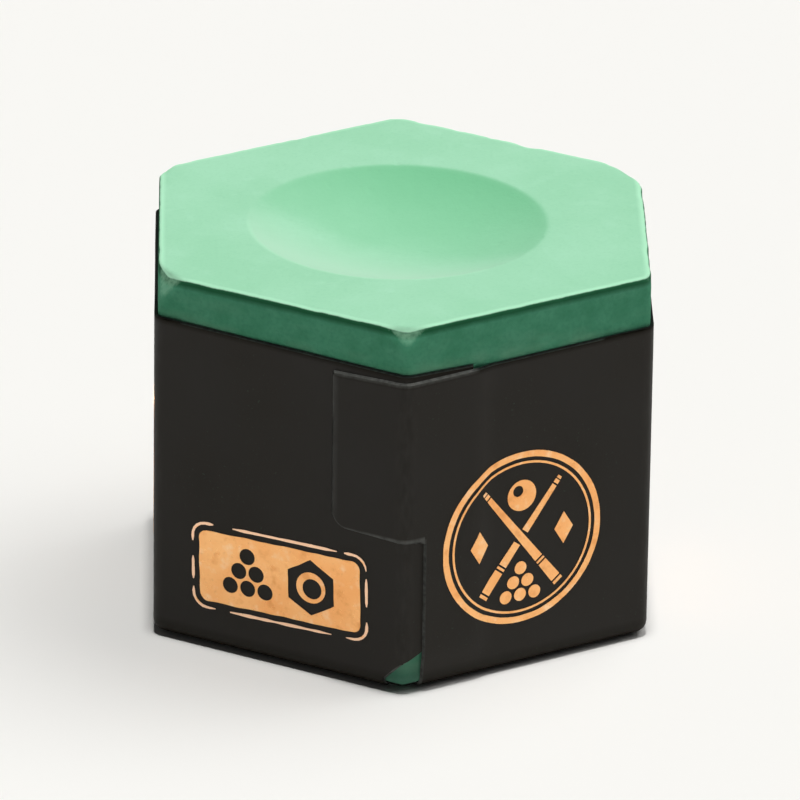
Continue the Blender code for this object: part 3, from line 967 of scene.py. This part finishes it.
def chalk_material():
    """Pressed chalk: a pale powdery top, and sides whose rubbed skin is darker, partly in its own colour
    and partly as painted shade.
    """
    finish, tree, shader = new_material("pressed_chalk")
    powder = add_node(tree, "Attribute", attribute_name="powder").outputs["Fac"]
    edge = add_node(tree, "Attribute", attribute_name="edge").outputs["Fac"]
    dish_shading = add_node(tree, "Attribute", attribute_name="dish_shading").outputs["Fac"]
    broad = noise_field(tree, 5 * MM, 4.0)
    mottle = noise_field(tree, 1.1 * MM, 4.0)
    grain = noise_field(tree, 0.22 * MM, 3.0)
    streaks = noise_field(tree, 1.2 * MM, 5.0, stretch=(3, 3, 1))
    pale = mixed(tree, ranged(tree, broad, 0.35, 0.65), *POWDER)
    pale = mixed(tree, ranged(tree, mottle, 0.55, 0.8, 0, 0.3), pale, POWDER_BLOOM)
    pale = mixed(tree, ranged(tree, grain, 0.5, 0.85, 0, 0.25), pale, POWDER_GRAIN)
    # Painted shade on one side of the dish, painted light on the other
    pale = mixed(tree, ranged(tree, dish_shading, 0.0, 1.0), pale, DISH_PAINTED_SHADE)
    pale = mixed(tree, ranged(tree, dish_shading, 0.0, -1.0), pale, DISH_PAINTED_LIGHT)
    # Painted highlight along the top edge and the dish's rim
    pale = mixed(tree, ranged(tree, edge, 0.3, 1.0, 0, 0.6), pale, PAINTED_EDGE_HIGHLIGHT)
    # The sides' colour, darker partly as painted shade
    skin = mixed(tree, ranged(tree, mottle, 0.3, 0.7), *SKIN)
    skin = mixed(tree, ranged(tree, streaks, 0.52, 0.75, 0, 0.40), skin, SKIN_STREAK)
    skin = mixed(tree, ranged(tree, grain, 0.45, 0.8, 0, 0.4), skin, SKIN_GRAIN)
    # Painted shade under the top edge
    skin = mixed(tree, ranged(tree, edge, 0.25, 0.9, 0, 0.9), skin, PAINTED_SHADE_UNDER_LIP)
    place = add_node(tree, "TexCoord").outputs["Object"]
    height = add_node(tree, "SeparateXYZ", {0: place}).outputs["Z"]
    smears = noise_field(tree, 1.6 * MM, 3.0, stretch=(1.6, 1.6, 0.6))
    near_label = ranged(tree, height, SMEARS_FROM, SMEARS_FULL_AT)
    smeared = maths(tree, "MULTIPLY", ranged(tree, smears, 0.45, 0.68), near_label)
    skin = mixed(tree, maths(tree, "MULTIPLY", smeared, 0.55), skin, SKIN_SMEAR)
    # Painted shade, darker towards the foot
    low_shade = ranged(tree, height, LOW_SHADE_FROM, LOW_SHADE_FULL_AT, 0, 0.7)
    skin = mixed(tree, low_shade, skin, SKIN_LOW_SHADE)
    ragged = maths(tree, "ADD", powder, ranged(tree, grain, 0.3, 0.7, -0.08, 0.08))
    colour = mixed(tree, ranged(tree, ragged, 0.15, 0.85), skin, pale)
    tree.links.new(colour, shader.inputs["Base Color"])
    tree.links.new(ranged(tree, mottle, 0.3, 0.7, 0.9, 1.0), shader.inputs["Roughness"])
    shader.inputs["Specular IOR Level"].default_value = 0.15
    relief = maths(tree, "ADD", grain, maths(tree, "MULTIPLY", mottle, 1.5))
    set_bump(tree, shader, relief, 0.02 * MM, 0.8)
    return finish


COATING = ((0.0120, 0.0095, 0.0062), (0.0165, 0.0135, 0.0092))
COATING_RUBBED = (0.070, 0.066, 0.060)
# Paler along the cut edges, partly from wear and partly as a painted highlight
COATING_WORN_AND_LIT = (0.105, 0.108, 0.100)
COATING_DUST = (0.06, 0.13, 0.09)


def paper_material():
    """Black coated paper, faintly fibrous, rubbed pale along its folds; its cut edges paler from wear and a
    painted highlight.
    """
    finish, tree, shader = new_material("black_paper")
    strip = add_node(tree, "Attribute", attribute_name="strip").outputs["Vector"]
    along, up, below_top = add_node(tree, "SeparateXYZ", {0: strip}).outputs
    broad = noise_field(tree, 6 * MM, 3.0)
    fibre = noise_field(tree, 0.35 * MM, 4.0, stretch=(1, 1, 3))
    specks = noise_field(tree, 0.16 * MM, 2.0)
    colour = mixed(tree, ranged(tree, broad, 0.35, 0.65), *COATING)
    from_fold = maths(tree, "PINGPONG", along, PITCH / MM / 2)
    fold = ranged(tree, from_fold, 0.0, 0.55, 1.0, 0.0)
    rub = maths(tree, "MULTIPLY", fold, ranged(tree, fibre, 0.35, 0.75))
    colour = mixed(tree, maths(tree, "MULTIPLY", rub, 0.22), colour, COATING_RUBBED)
    # The top edge over the lap is paler, partly from wear and partly as a painted highlight
    top_rim_wear_and_highlight = ranged(tree, below_top, 0.14, 0.30, 1.0, 0.0)
    top_rim_wear_and_highlight = maths(tree, "MULTIPLY", top_rim_wear_and_highlight, over_lap(tree, along))
    # The flap's rim and the top edge, paler from wear and a painted highlight
    worn = maths(tree, "MAXIMUM", flap_wear_and_highlight(tree, along, up), top_rim_wear_and_highlight)
    worn = maths(tree, "MULTIPLY", worn, ranged(tree, fibre, 0.25, 0.60, 0.45, 1.0))
    colour = mixed(tree, maths(tree, "MULTIPLY", worn, 0.75), colour, COATING_WORN_AND_LIT)
    dusty = ranged(tree, broad, 0.45, 0.7, 0, 0.35)
    dust = maths(tree, "MULTIPLY", ranged(tree, specks, 0.66, 0.8), dusty)
    colour = mixed(tree, dust, colour, COATING_DUST)
    tree.links.new(colour, shader.inputs["Base Color"])
    tree.links.new(ranged(tree, broad, 0.3, 0.7, 0.52, 0.66), shader.inputs["Roughness"])
    off_foot = ranged(tree, up, -0.6, 0.4, 0.1, 1.0)
    off_top = ranged(tree, below_top, 0.10, 0.40, 0.15, 1.0)
    sheen = maths(tree, "MULTIPLY", off_foot, off_top)
    tree.links.new(maths(tree, "MULTIPLY", sheen, 0.265), shader.inputs["Specular IOR Level"])
    relief = maths(tree, "ADD", fibre, maths(tree, "MULTIPLY", broad, 2.0))
    set_bump(tree, shader, relief, 0.012 * MM, 0.6)
    return finish


def over_lap(tree, along):
    """1 where the paper lies over its own lower end, fading out just past it."""
    return ranged(tree, along, UNDER_END / MM - 0.3, UNDER_END / MM + 0.3, 1.0, 0.0)


def flap_wear_and_highlight(tree, along, up):
    """1 on the rim of the glued flap and of the step edge below it, paler from rubbing and a painted
    highlight, and 0 a little further in.
    """
    radius = FLAP_CORNER_RADIUS / MM
    foot = (FLAP_FOOT - WALL_FOOT) / MM
    step = STEP_EDGE / MM
    from_left = maths(tree, "ADD", along, FLAP_REACH / MM)
    from_foot = maths(tree, "SUBTRACT", up, foot)
    left_lack = maths(tree, "MAXIMUM", maths(tree, "SUBTRACT", radius, from_left), 0.0)
    foot_lack = maths(tree, "MAXIMUM", maths(tree, "SUBTRACT", radius, from_foot), 0.0)
    squares = [maths(tree, "MULTIPLY", lack, lack) for lack in (left_lack, foot_lack)]
    reach = maths(tree, "SQRT", maths(tree, "ADD", *squares))
    inside = maths(tree, "SUBTRACT", radius, reach)
    flap = ranged(tree, inside, 0.06, 0.20, 1.0, 0.0)
    near_left = ranged(tree, from_left, 0.10, 0.45, 0.45, 0.0)
    left_rub = maths(tree, "MULTIPLY", near_left, ranged(tree, up, foot, foot + 1.5))
    flap = maths(tree, "MAXIMUM", flap, left_rub)
    left_of_step = maths(tree, "LESS_THAN", along, step)
    below_foot = maths(tree, "LESS_THAN", up, foot)
    past_step = ranged(tree, maths(tree, "SUBTRACT", along, step), 0.05, 0.16, 0.45, 0.0)
    right_of_step = maths(tree, "GREATER_THAN", along, step)
    step_rub = maths(tree, "MULTIPLY", maths(tree, "MULTIPLY", past_step, below_foot), right_of_step)
    return maths(tree, "ADD", maths(tree, "MULTIPLY", flap, left_of_step), step_rub)


CORE = ((0.10, 0.10, 0.095), (0.21, 0.21, 0.20))
# Grime low down, and painted shade along the top
CORE_GRIME_AND_SHADE = ((0.035, 0.037, 0.034), (0.080, 0.083, 0.077))
# Painted shade under the chalk's lip
CORE_LIP_SHADE = ((0.004, 0.006, 0.005), (0.012, 0.020, 0.015))


def paper_core_material():
    """The grey core of the paper, seen at its cut edges: grubby low down, and dark along the top as painted
    shade under the chalk's lip.
    """
    finish, tree, shader = new_material("paper_core")
    strip = add_node(tree, "Attribute", attribute_name="strip").outputs["Vector"]
    along, up, below_top = add_node(tree, "SeparateXYZ", {0: strip}).outputs
    fibre = noise_field(tree, 0.3 * MM, 4.0)
    colour = mixed(tree, ranged(tree, fibre, 0.3, 0.7), *CORE)
    grubby = mixed(tree, ranged(tree, fibre, 0.3, 0.7), *CORE_GRIME_AND_SHADE)
    low_down = ranged(tree, up, 13.0, 8.5, 0.0, 0.9)
    # Along the top the core gets painted shade under the chalk's lip, darkest past the lap
    at_top = ranged(tree, below_top, 0.05, 0.25, 1.0, 0.0)
    grime_and_lip_shade = maths(tree, "MAXIMUM", low_down, maths(tree, "MULTIPLY", at_top, 0.8))
    colour = mixed(tree, grime_and_lip_shade, colour, grubby)
    past_lap = maths(tree, "SUBTRACT", 1.0, over_lap(tree, along))
    lip_shade = mixed(tree, ranged(tree, fibre, 0.4, 0.7), *CORE_LIP_SHADE)
    colour = mixed(tree, maths(tree, "MULTIPLY", at_top, past_lap), colour, lip_shade)
    shader.inputs["Specular IOR Level"].default_value = 0.08
    tree.links.new(colour, shader.inputs["Base Color"])
    tree.links.new(ranged(tree, fibre, 0.3, 0.7, 0.8, 0.95), shader.inputs["Roughness"])
    set_bump(tree, shader, fibre, 0.02 * MM, 0.7)
    return finish


COPPER = ((0.97, 0.455, 0.165), (1.00, 0.530, 0.215))
COPPER_BRIGHT = (1.00, 0.66, 0.38)
COPPER_DEEP = (0.80, 0.34, 0.11)
COPPER_RUBBED = (0.60, 0.30, 0.13)
# Painted highlight on the frame's thin strokes
COPPER_LINE_HIGHLIGHT = (0.98, 0.68, 0.50)


def foil_material():
    """Copper foil stamped on paper: metal, slightly uneven, with rubbed spots."""
    finish, tree, shader = new_material("copper_foil")
    broad = noise_field(tree, 2.5 * MM, 3.0)
    fine = noise_field(tree, 0.25 * MM, 3.0)
    colour = mixed(tree, ranged(tree, broad, 0.35, 0.65), *COPPER)
    patches = noise_field(tree, 0.8 * MM, 3.0)
    colour = mixed(tree, ranged(tree, patches, 0.56, 0.72, 0, 0.75), colour, COPPER_BRIGHT)
    colour = mixed(tree, ranged(tree, patches, 0.44, 0.30, 0, 0.7), colour, COPPER_DEEP)
    colour = mixed(tree, ranged(tree, fine, 0.62, 0.85, 0, 0.5), colour, COPPER_RUBBED)
    line = add_node(tree, "Attribute", attribute_name="line").outputs["Fac"]
    # Painted highlight on the frame's thin strokes
    colour = mixed(tree, maths(tree, "MULTIPLY", line, 0.75), colour, COPPER_LINE_HIGHLIGHT)
    tree.links.new(colour, shader.inputs["Base Color"])
    tree.links.new(ranged(tree, fine, 0.3, 0.7, 0.26, 0.40), shader.inputs["Roughness"])
    shader.inputs["Metallic"].default_value = 1.0
    height = maths(tree, "ADD", fine, maths(tree, "MULTIPLY", broad, 1.5))
    set_bump(tree, shader, height, 0.012 * MM, 0.6)
    return finish


FLOOR = ((0.90, 0.895, 0.875), (0.91, 0.905, 0.89))


def floor_material():
    finish, tree, shader = new_material("pale_floor")
    broad = noise_field(tree, 400 * MM, 2.0)
    colour = mixed(tree, broad, *FLOOR)
    tree.links.new(colour, shader.inputs["Base Color"])
    shader.inputs["Roughness"].default_value = 0.9
    shader.inputs["Specular IOR Level"].default_value = 0.1
    return finish


# ---------------------------------------------------------------- studio


def add_stage(name, mesh_data, finish):
    """A finished bmesh as a floor or backdrop, which isn't part of the object."""
    mesh = bpy.data.meshes.new(name)
    mesh_data.to_mesh(mesh)
    mesh_data.free()
    mesh.materials.append(finish)
    piece = bpy.data.objects.new(name, mesh)
    bpy.context.collection.objects.link(piece)
    return piece


def make_floor():
    mesh_data = bmesh.new()
    bmesh.ops.create_grid(mesh_data, x_segments=1, y_segments=1, size=FLOOR_REACH)
    add_stage("floor", mesh_data, floor_material())


def make_backdrop():
    """A low round wall near the floor's end, as bright as the floor, so that no horizon shows."""
    finish, _, shader = new_material("pale_backdrop")
    shader.inputs["Base Color"].default_value = (0.0, 0.0, 0.0, 1.0)
    shader.inputs["Specular IOR Level"].default_value = 0.0
    shader.inputs["Emission Color"].default_value = BACKDROP_COLOUR
    shader.inputs["Emission Strength"].default_value = 1.0
    mesh_data = bmesh.new()
    bmesh.ops.create_circle(mesh_data, segments=BACKDROP_SEGMENTS, radius=BACKDROP_RADIUS)
    raised = bmesh.ops.extrude_edge_only(mesh_data, edges=mesh_data.edges[:])["geom"]
    for item in raised:
        if isinstance(item, bmesh.types.BMVert):
            item.co.z = BACKDROP_HEIGHT
    wall = add_stage("backdrop", mesh_data, finish)
    wall.visible_diffuse = False


def direction(azimuth, elevation):
    """The direction from the part to a place seen at that azimuth, 0 towards -Y and 90 towards +X."""
    turn, rise = math.radians(azimuth), math.radians(elevation)
    return Vector((math.sin(turn) * math.cos(rise), -math.cos(turn) * math.cos(rise), math.sin(rise)))


def make_light(name, azimuth, elevation, strength, spread):
    """A light from far away, which fills an angle of the sky as wide as its spread."""
    data = bpy.data.lights.new(name, "SUN")
    data.energy = strength
    data.angle = math.radians(spread)
    data.color = LIGHT_COLOUR
    light = bpy.data.objects.new(name, data)
    light.rotation_euler = direction(azimuth, elevation).to_track_quat("Z", "Y").to_euler()
    bpy.context.collection.objects.link(light)


def make_world():
    world = bpy.data.worlds.new("studio")
    world.use_nodes = True
    background = world.node_tree.nodes["Background"]
    background.inputs["Color"].default_value = (*LIGHT_COLOUR, 1.0)
    background.inputs["Strength"].default_value = WORLD_STRENGTH
    bpy.context.scene.world = world


def make_camera():
    data = bpy.data.cameras.new("camera")
    data.lens = CAMERA_LENS
    data.clip_start = 0.01
    camera = bpy.data.objects.new("camera", data)
    towards = direction(CAMERA_AZIMUTH, CAMERA_ELEVATION)
    camera.location = Vector((0, 0, TOP / 2)) + towards * CAMERA_DISTANCE
    look = towards.to_track_quat("Z", "Y").to_matrix().to_4x4()
    roll = Matrix.Rotation(math.radians(CAMERA_ROLL), 4, "Z")
    camera.rotation_euler = (look @ roll).to_euler()
    bpy.context.collection.objects.link(camera)
    bpy.context.scene.camera = camera


def main():
    chalk, foil = chalk_material(), foil_material()
    papers = [paper_material(), paper_core_material()]
    make_chalk(chalk)
    make_side_label(papers)
    make_base_label(papers)
    # Without a seed, noise_vector starts from the clock, and every run would draw other outlines
    noise.seed_set(UNEVEN_SEED)
    for face, place in PLAQUES:
        name, node, artwork = f"plaque_{place}", f"foil_plaque_{place}", plaque_artwork(face)
        stamp(name, node, artwork, PLAQUE_SIZE, face, PLAQUE_CENTRE, PLAQUE_TILT, foil)
    for face, place in CRESTS:
        name, node, artwork = f"crest_{place}", f"foil_crest_{place}", crest_artwork(face)
        stamp(name, node, artwork, CREST_SIZE, face, CREST_CENTRE, 0.0, foil)
    make_floor()
    make_backdrop()
    make_world()
    for name, settings in LIGHTS.items():
        make_light(name, *settings)
    make_camera()
    bpy.context.scene.view_settings.view_transform = "Standard"


main()
